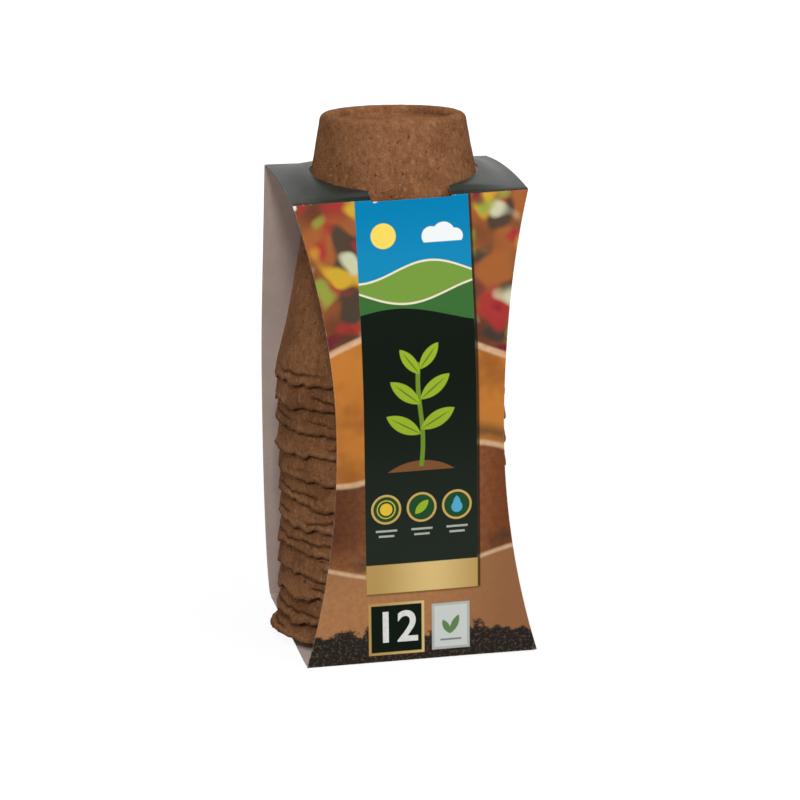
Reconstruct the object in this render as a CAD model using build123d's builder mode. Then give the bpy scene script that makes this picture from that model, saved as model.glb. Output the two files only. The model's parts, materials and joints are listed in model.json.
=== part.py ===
from build123d import *
import os
from math import atan, cos, degrees, sin, tan

# A pack of moulded wood-fibre plant pots, nested upside down in a printed card sleeve.
# Sizes are in millimetres. Z is up, the printed front faces -Y and the sleeve stands on Z = 0.

# The pots, measured as one stands on its rim
pot_count = 12
rim_diameter = 80
base_diameter = 48.6
pot_height = 88
pot_wall = 1.18
nest_clearance = 0.28
ring_width = 4.6
ring_round_share = 0.46
base_sink = 3
drain_diameter = 9

# The card sleeve
board = 0.5
sleeve_width = 79
waist_width = 56.4
rim_clearance = 0.3
glue_gap = 0.1
fold_clearance = 0.1
edge_lift = 0.3

# The bend that brings the front and the back in over the top pot
bend_radius = 200
bend_lead = 13
front_lean_share = 1.15
back_lean_share = 0.88

# The top panel and the hole that the top pot's base stands through
base_show = 20.2
top_fall = 4.4
top_arch = 1.7
hole_clearance = 1.7
hole_shift = 0.2
notch_width = 27

# The glue flap, turned up from the bottom panel behind the front panel
flap_height = 12
flap_inset = 2
flap_chamfer = 6

# One overrun serves every cut
overrun = 5

# How the pots nest: each one stops where its wall meets the wall of the pot inside it
rim_radius = rim_diameter / 2
base_radius = base_diameter / 2
taper = atan((rim_radius - base_radius) / pot_height)
nest_pitch = (pot_wall + nest_clearance) / sin(taper)
wall_across = pot_wall / cos(taper)
top_rim_z = board + (pot_count - 1) * nest_pitch
stack_top = top_rim_z + pot_height

# The outline of the foot ring and the sunken base
ring_radius = base_radius - ring_width
sunk_radius = ring_radius - base_sink * tan(taper)
sunk_height = pot_height - base_sink
groove_height = pot_height - pot_wall
groove_radius = base_radius + pot_wall * tan(taper) - wall_across
drain_radius = drain_diameter / 2

# The sleeve's own reach, from the widest rim outwards
half_width = sleeve_width / 2
half_depth = rim_radius + rim_clearance + board + glue_gap + board
back_fold_z = stack_top - base_show
front_fold_z = back_fold_z - top_fall
bend_start = top_rim_z - bend_lead
front_lean = taper * front_lean_share
back_lean = taper * back_lean_share


def fold_reach(lean, fold_z):
    """Distance of a fold's outer corner from the middle of the pack, for a panel that leans in."""
    straight = fold_z - bend_start - bend_radius * sin(lean)
    return half_depth - bend_radius * (1 - cos(lean)) - straight * tan(lean)


front_fold_y = -fold_reach(front_lean, front_fold_z)
back_fold_y = fold_reach(back_lean, back_fold_z)
hole_radius = base_radius + base_show * tan(taper) + hole_clearance
fold_step = board + fold_clearance

os.makedirs("parts", exist_ok=True)

# The nested pots, numbered from the top of the stack down
for index in range(pot_count):
    rim_z = top_rim_z - index * nest_pitch
    with BuildPart() as pot:
        with BuildSketch(Plane.XZ.shift_origin((0, 0, rim_z))) as section:
            with BuildLine():
                Polyline(
                    (rim_radius, 0),
                    (base_radius, pot_height),
                    (ring_radius, pot_height),
                    (sunk_radius, sunk_height),
                    (drain_radius, sunk_height),
                    (drain_radius, sunk_height - pot_wall),
                    (sunk_radius + wall_across, sunk_height - pot_wall),
                    (ring_radius + wall_across, groove_height),
                    (groove_radius, groove_height),
                    (rim_radius - wall_across, 0),
                    close=True,
                )
            make_face()
            ring_corners = section.vertices().group_by(Axis.Y)[-1]
            fillet(ring_corners, radius=ring_width * ring_round_share)
        revolve(axis=Axis.Z)
    pot_name = f"pot_{index + 1:02d}"
    pot.part.label = pot_name
    export_step(pot.part, f"parts/{pot_name}.step")

# The front panel: upright past the rims, bent in over the top pot, and drawn in at the waist
with BuildPart() as front_panel:
    with BuildSketch(Plane.YZ):
        with BuildLine():
            front_upright = Line((-half_depth, edge_lift), (-half_depth, bend_start))
            front_bend = JernArc(front_upright @ 1, front_upright % 1, bend_radius, -degrees(front_lean))
            front_straight = (front_fold_z - bend_start - bend_radius * sin(front_lean)) / cos(front_lean)
            PolarLine(front_bend @ 1, front_straight - fold_step, direction=front_bend % 1)
            offset(amount=board, side=Side.RIGHT)
        make_face()
    extrude(amount=half_width, both=True)
    with BuildSketch(Plane.XZ):
        with BuildLine():
            waist_z = (edge_lift + front_fold_z) / 2
            lower_edge = Line((-half_width, edge_lift), (half_width, edge_lift))
            right_side = ThreePointArc(lower_edge @ 1, (waist_width / 2, waist_z), (half_width, front_fold_z))
            upper_edge = Line(right_side @ 1, (-half_width, front_fold_z))
            ThreePointArc(upper_edge @ 1, (-waist_width / 2, waist_z), lower_edge @ 0)
        make_face()
    extrude(amount=half_depth + overrun, both=True, mode=Mode.INTERSECT)
front_panel.part.label = "front_panel"
export_step(front_panel.part, "parts/front_panel.step")

# The back panel: the same bend with less lean, and straight sides
with BuildPart() as back_panel:
    with BuildSketch(Plane.YZ):
        with BuildLine():
            back_upright = Line((half_depth, 0), (half_depth, bend_start))
            back_bend = JernArc(back_upright @ 1, back_upright % 1, bend_radius, degrees(back_lean))
            back_straight = (back_fold_z - bend_start - bend_radius * sin(back_lean)) / cos(back_lean)
            PolarLine(back_bend @ 1, back_straight - fold_step, direction=back_bend % 1)
            offset(amount=board, side=Side.LEFT)
        make_face()
    extrude(amount=half_width, both=True)
back_panel.part.label = "back_panel"
export_step(back_panel.part, "parts/back_panel.step")

# The top panel: gently arched, with a round hole that opens into a notch at the front fold
with BuildPart() as top_panel:
    with BuildSketch(Plane.YZ):
        with BuildLine():
            crest_y = (front_fold_y + back_fold_y) / 2
            crest_z = (front_fold_z + back_fold_z) / 2 + top_arch
            ThreePointArc((back_fold_y, back_fold_z), (crest_y, crest_z), (front_fold_y, front_fold_z))
            offset(amount=board, side=Side.LEFT)
        make_face()
    extrude(amount=half_width, both=True)
    with BuildSketch(Plane.XY.offset(front_fold_z - overrun)):
        with Locations((0, -hole_shift)):
            Circle(hole_radius)
        Rectangle(notch_width, overrun - front_fold_y, align=(Align.CENTER, Align.MAX))
    extrude(amount=crest_z - front_fold_z + overrun + overrun, mode=Mode.SUBTRACT)
top_panel.part.label = "top_panel"
export_step(top_panel.part, "parts/top_panel.step")

# The bottom panel, from the foot of the back panel to the glue flap's fold
flap_front = half_depth - board - glue_gap
with BuildPart() as bottom_panel:
    with BuildSketch():
        with Locations((0, -flap_front)):
            Rectangle(sleeve_width, flap_front + half_depth - board, align=(Align.CENTER, Align.MIN))
    extrude(amount=board)
bottom_panel.part.label = "bottom_panel"
export_step(bottom_panel.part, "parts/bottom_panel.step")

# The glue flap, standing on the bottom panel's front edge with its upper corners cut back
with BuildPart() as glue_flap:
    with BuildSketch(Plane.XZ.offset(flap_front)) as flap_face:
        with Locations((0, board)):
            Rectangle(sleeve_width - 2 * flap_inset, flap_height, align=(Align.CENTER, Align.MIN))
        chamfer(flap_face.vertices().group_by(Axis.Y)[-1], length=flap_chamfer)
    extrude(amount=-board)
glue_flap.part.label = "glue_flap"
export_step(glue_flap.part, "parts/glue_flap.step")
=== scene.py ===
import json
import math
from functools import partialmethod

import bpy
import numpy as np
from mathutils import Matrix, Vector


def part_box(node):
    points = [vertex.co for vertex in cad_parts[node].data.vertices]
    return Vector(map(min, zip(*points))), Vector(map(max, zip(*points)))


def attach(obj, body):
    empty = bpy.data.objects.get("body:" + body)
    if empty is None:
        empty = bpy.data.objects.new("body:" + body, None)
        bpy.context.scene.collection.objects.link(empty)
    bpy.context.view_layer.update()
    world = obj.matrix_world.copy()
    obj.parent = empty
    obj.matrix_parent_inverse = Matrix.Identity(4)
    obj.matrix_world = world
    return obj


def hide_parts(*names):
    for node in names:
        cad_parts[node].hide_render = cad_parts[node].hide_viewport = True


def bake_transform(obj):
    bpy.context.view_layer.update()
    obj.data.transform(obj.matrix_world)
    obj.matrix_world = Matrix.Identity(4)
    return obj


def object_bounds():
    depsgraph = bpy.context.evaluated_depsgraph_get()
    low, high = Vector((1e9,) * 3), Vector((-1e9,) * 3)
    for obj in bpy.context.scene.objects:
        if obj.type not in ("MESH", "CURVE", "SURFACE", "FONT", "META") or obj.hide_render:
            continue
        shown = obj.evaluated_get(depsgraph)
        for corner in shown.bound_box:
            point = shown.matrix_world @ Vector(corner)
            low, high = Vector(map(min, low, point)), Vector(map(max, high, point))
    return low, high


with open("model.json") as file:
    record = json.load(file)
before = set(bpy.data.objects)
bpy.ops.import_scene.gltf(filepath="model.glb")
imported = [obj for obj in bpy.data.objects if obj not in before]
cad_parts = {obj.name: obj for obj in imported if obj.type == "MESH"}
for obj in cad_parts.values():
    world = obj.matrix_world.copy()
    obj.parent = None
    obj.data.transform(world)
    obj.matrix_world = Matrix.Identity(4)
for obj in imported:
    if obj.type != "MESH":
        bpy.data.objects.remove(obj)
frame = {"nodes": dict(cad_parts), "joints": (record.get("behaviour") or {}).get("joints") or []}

bl_info = {
    "name": "Fibre pot pack",
    "version": (1, 0, 0),
    "blender": (4, 5, 0),
    "location": "View3D > Sidebar > Pot pack",
    "description": "Dresses a stack of nested fibre pots and the printed card sleeve that holds it",
    "category": "Object",
}

MM = 0.001
UP = np.array([0, 0, 1.0])


def solid_points(name):
    """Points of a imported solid's mesh."""
    return np.array([vertex.co for vertex in frame["nodes"][name].data.vertices])


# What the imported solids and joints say
CAD_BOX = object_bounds()
POTS = sorted(name for name in frame["nodes"] if name.startswith("pot_"))
FOLDS = {joint["name"]: Vector(joint["pos_m"]) for joint in frame["joints"] if "pos_m" in joint}
FRONT_FOLD, LID_FOLD = FOLDS["front_fold"], FOLDS["lid_fold"]
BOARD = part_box("bottom_panel")[1].z
HALF_WIDTH, HALF_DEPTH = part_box("back_panel")[1].xy
FLAP_LOW, FLAP_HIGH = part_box("glue_flap")
TOP_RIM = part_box(POTS[0])[0].z
PITCH = TOP_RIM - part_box(POTS[1])[0].z
HOLE_NEAREST = np.hypot(*solid_points("top_panel")[:, :2].T).min()  # from the axis to the lid's hole

# Mesh steps along the pots' walls and across the sheets, and the seeds of the sheets' waves
TOP_WALL_STEP, HIDDEN_WALL_STEP = 0.9 * MM, 6 * MM
FINE_STEP, PLAIN_STEP, COARSE_STEP = 0.5 * MM, 1 * MM, 9 * MM
FRONT_COLUMNS, BACK_COLUMNS, BOTTOM_COLUMNS = 14, 31, 23
HOLE_STEPS, NOTCH_STEPS, TOP_ROWS = 60, 5, 10
BEND_STEPS = 12
FRONT_SEED, BACK_SEED, BOTTOM_SEED = 11, 12, 13

# The pots' roughness. A layer of lumps has a weight and a size in millimetres. A reach is a height above the rim
WALL_LAYERS = ((1, 9), (0.6, 3.4), (0.4, 1.5))
TEAR_LAYERS = ((0.75, 14), (0.55, 5), (0.5, 2.4))
CRACK_LAYERS = ((1.2, 11), (0.5, 3))
DENT_SIZE, BITE_SIZE, SWELL_SIZE, LIP_SIZE, BREAK_SIZE = 2.3 * MM, 8 * MM, 28 * MM, 13 * MM, 16 * MM
FEATHER_REACH, LIP_REACH, FRAY_REACH = 4 * MM, 3.2 * MM, 1.6 * MM
LIP_TURN, LIP_LEAST = 0.9 * MM, 0.1 * MM
FRAY_OUT, FRAY_OUT_SIZE, FRAY_UP, FRAY_UP_SIZE = 0.25 * MM, 1.1 * MM, 0.2 * MM, 1.3 * MM
CRACK_HEIGHT_MM, CRACK_WIDTH, CRACK_DEPTH = 3.4, 0.45 * MM, 0.5 * MM
# How far the painted shade reaches up from a torn rim's edge, and the height and width of the painted highlight
# along each lip
EDGE_SHADE_REACH, LIP_HIGHLIGHT_HEIGHT, LIP_HIGHLIGHT_WIDTH = 0.6 * MM, 1.5 * MM, 0.6 * MM
# Heights below the lip of the pot above over which the painted shade under that lip fades out
LIP_SHADE = -0.8 * MM, -0.2 * MM
SPLAY_KEPT = 0.4  # what is left of the splay from one rim to the next one up
FACING = 0.3  # how squarely a face looks out or up before it counts as shown
FLAP_GAP = 0.1 * MM

# The card's waves and its lift round the hole
WAVE_SIZE, LIFT_REACH = 34 * MM, 9 * MM
LIFT_FRONT, LIFT_BACK, LIFT_SIDE = 5 * MM, 8 * MM, 9 * MM
FAR_FROM_CREASE = 9 * MM
SHARP_ANGLE = math.radians(40)

# The print, in millimetres on the flat blank: across from the middle, and along from the foot
COLUMN_HALF, SOFT_EDGE = 19, 0.12
HILLS_FOOT, SEEDLING_FOOT = 132, 66
FRONT_BADGES, BACK_BADGES = 53, 134
DARK_PLATE, PALE_PLATE = (-9, 11.5), (9.6, 11)
BADGE_STEP = 12
GARDEN = (  # tint, shift of its noise, and the level above which it shows
    ((62, 58, 50), (3, 40), 0.51),
    ((166, 50, 50), (61, 9), 0.53),
    ((208, 168, 50), (22, 77), 0.58),
    ((206, 208, 172), (90, 31), 0.6),
    ((142, 158, 66), (14, 120), 0.62),
    ((112, 24, 50), (75, 64), 0.6),
)
LEAVES = ((12, 11.5, 6.5, 5.2), (22, 10, 8, 4.8), (32, 6.5, 8.5, 4))  # start on the stem, reach, rise and width
CLOUD = ((6, 13, 3.2), (10.2, 12.4, 3.8), (14, 13.4, 2.6))  # across, drop from the fold and radius
NUMERAL_SIZE, NUMERAL_SWELL, NUMERAL_DEPTH = 15 * MM, 0.28 * MM, 0.02 * MM
NUMERAL_LIFT, NUMERAL_MIDDLE = 0.24 * MM, 11.8 * MM

# The stage, in metres: place, size and power of each lamp
LAMPS = {
    "key": ((0.75, -0.75, 0.8), 0.6, 6),
    "front": ((-0.26, -1.35, 1.05), 0.2, 9.2),
    "fill": ((-1.1, -0.75, 0.6), 0.6, 2.6),
    "rear": ((0.6, 0.8, 0.9), 0.7, 1.4),
    "overhead": ((-0.1, -0.15, 1.2), 0.7, 5),
}
LAMP_AIM = Vector((0, 0, 0.09))
FLOOR_DROP = 0.3 * MM
SENSOR_WIDTH, CLIP_END = 36, 30


def srgb(red, green, blue):
    """A colour as it is read off a screen, 0 to 255, in Blender's linear values."""
    shares = (channel / 255 for channel in (red, green, blue))
    return tuple(s / 12.92 if s < 0.04045 else ((s + 0.055) / 1.055) ** 2.4 for s in shares)


def length(name, description, millimetres):
    """A property for a size, given in millimetres and kept in metres."""
    return bpy.props.FloatProperty(name=name, description=description, default=millimetres * MM, unit="LENGTH",
                                   precision=5)


def colour(name, description, red, green, blue):
    """A property for a colour, given as it is read off a screen."""
    return bpy.props.FloatVectorProperty(name=name, description=description, default=srgb(red, green, blue),
                                         subtype="COLOR", min=0, max=1)


def degrees(name, description, value):
    """A property for an angle, given in degrees and kept in radians."""
    return bpy.props.FloatProperty(name=name, description=description, default=math.radians(value), unit="ROTATION")


class PotSettings(bpy.types.PropertyGroup):
    """Sizes and colours of the moulded fibre pots."""

    wall: length("Wall", "Thickness of the moulded wall", 1.1)
    ring_width: length("Foot ring width", "Width of the ring that a pot stands on", 4.6)
    ring_round: length("Foot ring rounding", "Radius of the foot ring's edges", 2.2)
    base_sink: length("Base sink", "Depth of the base inside the foot ring", 3)
    drain_radius: length("Drain radius", "Radius of the drain hole", 4.5)
    lump: length("Lumps", "Height of the wall's coarse lumps", 0.13)
    tear: length("Rim tear", "How far the torn rim rises and falls", 1.5)
    feather: length("Feather", "How much thinner the torn rims are than the wall", 0.35)
    bulge: length("Rim bulge", "How far the rims swell out at the sleeve's open left side", 2.1)
    splay: length("Foot splay", "How far the lowest rim is bent out at its left front", 3.4)
    band: length("Rim band", "Height of the finely meshed band above a rim", 13)
    around: bpy.props.IntProperty(name="Steps around", description="Mesh steps around a pot", default=300, min=24)
    seed: bpy.props.IntProperty(name="Seed", description="Seed of the lumps and tears", default=7)
    fibre: colour("Fibre", "Main colour of the moulded fibre", 144, 96, 63)
    deep_fibre: colour("Deep fibre", "Colour of the darker blotches", 114, 72, 44)
    straw: colour("Straw", "Colour of the pale flecks", 186, 144, 104)
    # The pits' colour also paints the shade at the rims' torn edges, in their cracks and under each lip
    pit: colour("Pit", "Colour of the small dark pits", 54, 30, 16)


class SleeveSettings(bpy.types.PropertyGroup):
    """Sizes and colours of the folded card sleeve."""

    bend_radius: length("Bend radius", "Radius of the front's and the back's gentle bend", 200)
    bend_lead: length("Bend lead", "How far below the top pot's rim the bend starts", 13)
    crease: length("Crease", "Outer radius of a folded edge", 0.9)
    crease_run: length("Crease run", "How far a folded edge reaches on to the top panel", 1.1)
    notch: length("Notch", "Half width of the notch at the front fold", 13.5)
    hole_shift: length("Hole shift", "How far the top panel's hole lies in front of the pots' axis", 0.2)
    hole_fray: length("Hole fray", "How far the card's torn edge reaches into the hole", 1.1)
    dome: length("Dome", "How far the top pot lifts the card around the hole", 1.8)
    skew: length("Skew", "How far the front fold's ends stand off true", 1.15)
    top_arch: length("Top arch", "Rise of the top panel between its two folds", 1.7)
    bow: length("Back bow", "How far the back's left edge bows out below the middle", 1.6)
    wave: length("Card wave", "How far the card strays from a true face", 0.22)
    charcoal: colour("Charcoal", "Top panel and dark areas of the print", 31, 33, 27)
    leaf_dark: colour("Dark green", "Panel behind the drawings", 11, 21, 13)
    leaf_light: colour("Lime", "Leaves of the drawn seedling", 150, 178, 46)
    sky: colour("Sky", "Head of the front panel", 0, 124, 174)
    gold: colour("Gold", "Borders of the badges and of the back's panel", 206, 170, 96)
    cream: colour("Cream", "Thin lines of the print", 232, 222, 196)
    clay: colour("Clay", "Warm middle of the print", 192, 121, 52)
    clay_pale: colour("Pale clay", "Warm foot of the print", 178, 120, 74)
    soil: colour("Soil", "Dark crumbs along the foot of the print", 38, 32, 28)
    board: colour("Bare board", "Unprinted inside of the card", 197, 176, 166)
    core: colour("Cut edge", "Edges where the card is cut", 196, 184, 168)


class StageSettings(bpy.types.PropertyGroup):
    """Camera, lamps and floor."""

    azimuth: degrees("Azimuth", "Camera's turn about the pack", -11.1775)
    elevation: degrees("Elevation", "Camera's height above the horizon", 12.9908)
    roll: degrees("Roll", "Camera's roll about its line of sight", -0.7035)
    distance: length("Distance", "Camera's distance from what it looks at", 882.52)
    aside: length("Aside", "How far to the right of the pack's axis it looks", 1.2759)
    height: length("Height", "How high above the floor it looks", 80.473)
    focal_length: bpy.props.FloatProperty(name="Focal length", description="Camera's focal length in millimetres",
                                          default=115.002, min=1)
    floor_size: length("Floor size", "Length of the floor's sides", 12000)
    white: colour("Floor", "Colour of the floor", 196, 196, 195)


class PotPackSettings(bpy.types.PropertyGroup):
    """Everything that a user of the pack would change."""

    pots: bpy.props.PointerProperty(type=PotSettings, name="Pots", description="The fibre pots")
    sleeve: bpy.props.PointerProperty(type=SleeveSettings, name="Sleeve", description="The card sleeve")
    stage: bpy.props.PointerProperty(type=StageSettings, name="Stage", description="Camera, lamps and floor")


class Wire:
    """A socket of a node tree. Sums on wires add Math nodes to the tree."""

    def __init__(self, nodes, socket):
        self.nodes = nodes
        self.socket = socket

    def math(self, operation, *others):
        return self.nodes.node("ShaderNodeMath", {"operation": operation}, dict(enumerate((self, *others))))

    __add__ = partialmethod(math, "ADD")
    __sub__ = partialmethod(math, "SUBTRACT")
    __mul__ = partialmethod(math, "MULTIPLY")
    __truediv__ = partialmethod(math, "DIVIDE")
    __abs__ = partialmethod(math, "ABSOLUTE")
    least = partialmethod(math, "MINIMUM")
    most = partialmethod(math, "MAXIMUM")
    sine = partialmethod(math, "SINE")

    def __rsub__(self, other):
        return self.math("MULTIPLY_ADD", -1, other)

    def fade(self, low, high):
        """0 below low, 1 above high, and smooth between."""
        return self.nodes.node("ShaderNodeMapRange", {"interpolation_type": "SMOOTHSTEP"},
                               {"Value": self, "From Min": low, "From Max": high})


class Nodes:
    """A node tree whose nodes are made by expressions."""

    def __init__(self, tree):
        self.tree = tree

    def feed(self, socket, value):
        """Links a wire to a socket, or sets the socket's value."""
        if isinstance(value, Wire):
            self.tree.links.new(value.socket, socket)
        elif socket.type == "RGBA" and len(value) == 3:
            socket.default_value = (*value, 1)
        else:
            socket.default_value = value

    def node(self, kind, settings=None, sockets=None, output=0):
        """Adds a node: its settings first, then the values or links of its sockets."""
        made = self.tree.nodes.new(kind)
        for key, value in (settings or {}).items():
            setattr(made, key, value)
        for key, value in (sockets or {}).items():
            self.feed(made.inputs[key], value)
        return Wire(self, made.outputs[output])

    def over(self, under, shade, mask):
        """One colour laid over another where the mask is 1."""
        return self.node("ShaderNodeMix", {"data_type": "RGBA"}, {0: mask, 6: under, 7: shade}, output=2)

    def noise(self, place, scale, detail=2.0, roughness=0.5, distortion=0.0):
        sockets = {"Vector": place, "Scale": scale, "Detail": detail, "Roughness": roughness,
                   "Distortion": distortion}
        return self.node("ShaderNodeTexNoise", None, sockets, output="Fac")

    def object_place(self):
        """The point on the piece, in millimetres."""
        place = self.node("ShaderNodeTexCoord", output="Object")
        return self.node("ShaderNodeVectorMath", {"operation": "SCALE"}, {0: place, "Scale": 1 / MM})

    def card_place(self):
        """The point on a sheet of card, in millimetres across and along the flat blank."""
        return self.node("ShaderNodeUVMap", {"uv_map": "card_mm"})

    def split(self, place):
        """The first two coordinates of a place."""
        return tuple(self.node("ShaderNodeSeparateXYZ", None, {0: place}, output=n) for n in range(2))

    def moved(self, place, shift, stretch=(1, 1, 1)):
        """A place shifted and stretched before a texture reads it."""
        return self.node("ShaderNodeMapping", None, {"Vector": place, "Location": shift, "Scale": stretch})

    def attribute(self, name):
        return self.node("ShaderNodeAttribute", {"attribute_name": name}, output="Fac")

    def ray(self, kind):
        """1 where a ray of this kind looks."""
        return self.node("ShaderNodeLightPath", output=f"Is {kind} Ray")

    def bump(self, height, strength, distance):
        return self.node("ShaderNodeBump", None, {"Height": height, "Strength": strength, "Distance": distance})


class Paint(Nodes):
    """A material around one Principled shader."""

    def __init__(self, name, **constants):
        self.material = bpy.data.materials.new(name)
        self.material.use_nodes = True
        super().__init__(self.material.node_tree)
        self.shader = self.tree.nodes["Principled BSDF"]
        self.finish(**constants)

    def finish(self, **sockets):
        for socket, value in sockets.items():
            self.feed(self.shader.inputs[socket.replace("_", " ")], value)
        return self.material


class Lumps:
    """Seeded value noise on a lattice that repeats, read at many points at once."""

    cells = 24

    def __init__(self, seed):
        self.table = np.random.default_rng(seed).uniform(-1, 1, (self.cells,) * 3)

    def __call__(self, points, size):
        at = points / size
        low = np.floor(at).astype(int)
        share = at - low
        share = share * share * (3 - 2 * share)
        total = 0
        for corner in np.ndindex(2, 2, 2):
            step = np.array(corner)
            i, j, k = np.moveaxis((low + step) % self.cells, -1, 0)
            total = total + np.where(step, share, 1 - share).prod(axis=-1) * self.table[i, j, k]
        return total

    def layered(self, points, layers):
        """The sum of several layers, each with its weight and its size in millimetres."""
        return sum(weight * self(points, size * MM) for weight, size in layers)


def unit(vectors):
    return vectors / np.linalg.norm(vectors, axis=-1, keepdims=True)


def step_up(value, low, high):
    """0 below low, 1 above high, and smooth between."""
    share = np.clip((value - low) / (high - low), 0, 1)
    return share * share * (3 - 2 * share)


def hump(value, middle, width):
    """1 at the middle, and falling off smoothly to both sides."""
    return np.exp(-((value - middle) / width) ** 2)


def near_rim(height, reach, power=1):
    """1 at a rim and below it, falling to 0 at a reach above it."""
    return np.clip(1 - height / reach, 0, 1) ** power


def rounded_path(corners, radii, gaps, closed=False, arc_steps=6):
    """Points along an outline: an arc at each corner, and each straight run cut at its own gap."""
    corners = np.asarray(corners, float)
    count = len(corners)
    arcs = []
    for index, (here, radius) in enumerate(zip(corners, radii)):
        if radius == 0:
            arcs.append(here[None])
            continue
        before = unit(corners[index - 1] - here)
        after = unit(corners[(index + 1) % count] - here)
        half = math.acos(before @ after) / 2
        centre = here + unit(before + after) * radius / math.sin(half)
        start, end = (here + side * radius / math.tan(half) - centre for side in (before, after))
        turn = math.pi - 2 * half
        share = np.linspace(0, 1, arc_steps + 1)[:, None]
        arcs.append(centre + (np.sin((1 - share) * turn) * start + np.sin(share * turn) * end) / math.sin(turn))
    points = []
    for index, gap in enumerate(gaps):
        start, end = arcs[index][-1], arcs[(index + 1) % count][0]
        cuts = max(1, round(np.linalg.norm(end - start) / gap))
        points += [arcs[index], start + (end - start) * np.linspace(0, 1, cuts + 1)[1:-1, None]]
    if not closed:
        points.append(arcs[-1])
    return np.concatenate(points)


def add_object(name, data):
    """An object with its data, linked to the scene."""
    made = bpy.data.objects.new(name, data)
    bpy.context.scene.collection.objects.link(made)
    return made


def add_piece(name, points, faces, materials, face_slots=None):
    """A smooth-shaded mesh object in the row's frame."""
    mesh = bpy.data.meshes.new(name)
    mesh.from_pydata(points.tolist(), [], faces)
    for material in materials:
        mesh.materials.append(material)
    if face_slots is not None:
        mesh.polygons.foreach_set("material_index", face_slots)
    mesh.shade_smooth()
    return add_object(name, mesh)


def add_values(piece, name, values):
    """A number for each point of a piece, which its material can read."""
    piece.data.attributes.new(name, "FLOAT", "POINT").data.foreach_set("value", np.ravel(values).astype(np.float32))


def fibre_material(pots):
    """Moulded wood fibre: mottled brown with pale flecks, hair-like strands and dark pits, with painted shade in the
    rims' cracks and a painted highlight along each lip.
    """
    paint = Paint("moulded_fibre", Specular_IOR_Level=0.06)
    place = paint.object_place()
    blotch = paint.noise(place, 0.055, 3, 0.6)
    grain = paint.noise(place, 0.9, 5, 0.72)
    strands = abs(paint.noise(place, 0.42, 2.5, 0.6, 0.8) - 0.5)
    fine_strands = abs(paint.noise(paint.moved(place, (31, 7, 13)), 0.95, 2, 0.6, 1.2) - 0.5)
    fleck = paint.noise(paint.moved(place, (5, 71, 43)), 0.62, 3, 0.6).fade(0.6, 0.72)
    mottle = paint.noise(paint.moved(place, (3, 9, 27), (1, 1, 0.5)), 0.75, 3, 0.65)
    pits = paint.noise(paint.moved(place, (17, 3, 91)), 0.6, 2, 0.5).fade(0.64, 0.75)
    hairs = (1 - strands.fade(0.008, 0.035)) * 0.3 + (1 - fine_strands.fade(0.006, 0.03)) * 0.25
    # Painted highlight along each lip's edge, in the straw colour
    lip = paint.attribute("lip") * blotch.fade(0.35, 0.6) * grain.fade(0.35, 0.6)
    # Painted shade at the rims' torn edges, in their cracks and under each lip, laid in the pits' colour
    crack = paint.attribute("rim") * (1 - grain.fade(0.5, 0.75) * 0.6)

    shade = pots.deep_fibre
    for tint, mask in (
        (pots.fibre, blotch.fade(0.32, 0.62)),
        (pots.deep_fibre, (1 - mottle.fade(0.36, 0.5)) * 0.55),
        (pots.straw, mottle.fade(0.54, 0.7) * 0.3),
        (pots.straw, fleck * 0.45),
        (pots.straw, hairs * 0.7),
        (pots.deep_fibre, (1 - grain.fade(0.3, 0.52)) * 0.6),
        (pots.pit, pits * 0.6),
        # painted highlight along each lip
        (pots.straw, lip * 0.4),
        # painted shade in the rims' cracks and under each lip
        (pots.pit, crack * 0.95),
    ):
        shade = paint.over(shade, tint, mask)
    height = grain * 0.9 + mottle * 0.9 + hairs * 0.5 - pits * 0.9 + fleck * 0.25
    normal = paint.bump(height, 0.85, 0.45 * MM)
    return paint.finish(Base_Color=shade, Roughness=grain * 0.1 + 0.88, Normal=normal)


def pot_section(pots, rim_radius, slope, across, pot_height, wall_step):
    """Outline of a pot's wall as radius and height, from the drain over the base to the rim and back inside."""
    base_radius = rim_radius - slope * pot_height
    ring = base_radius - pots.ring_width
    sunk = ring - pots.base_sink * slope
    floor = pot_height - pots.base_sink
    groove = pot_height - pots.wall
    band_radius = rim_radius - pots.band * slope
    edge = 0.4 * MM
    # Each corner with its rounding and the mesh step from it to the next corner
    outline = [
        ((pots.drain_radius, floor), edge, PLAIN_STEP),
        ((sunk, floor), 2 * edge, FINE_STEP),
        ((ring, pot_height), pots.ring_round, FINE_STEP),
        ((base_radius, pot_height), pots.ring_round, wall_step),
        ((band_radius, pots.band), 0, FINE_STEP),
        ((rim_radius, 0), edge, FINE_STEP),
        ((rim_radius - across, 0), edge, PLAIN_STEP),
        ((band_radius - across, pots.band), 0, COARSE_STEP),
        ((base_radius + pots.wall * slope - across, groove), edge, PLAIN_STEP),
        ((ring + across, groove), edge, PLAIN_STEP),
        ((sunk + across, floor - pots.wall), edge, 2 * PLAIN_STEP),
        ((pots.drain_radius, floor - pots.wall), edge, FINE_STEP),
    ]
    return rounded_path(*zip(*outline), closed=True, arc_steps=5)


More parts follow.
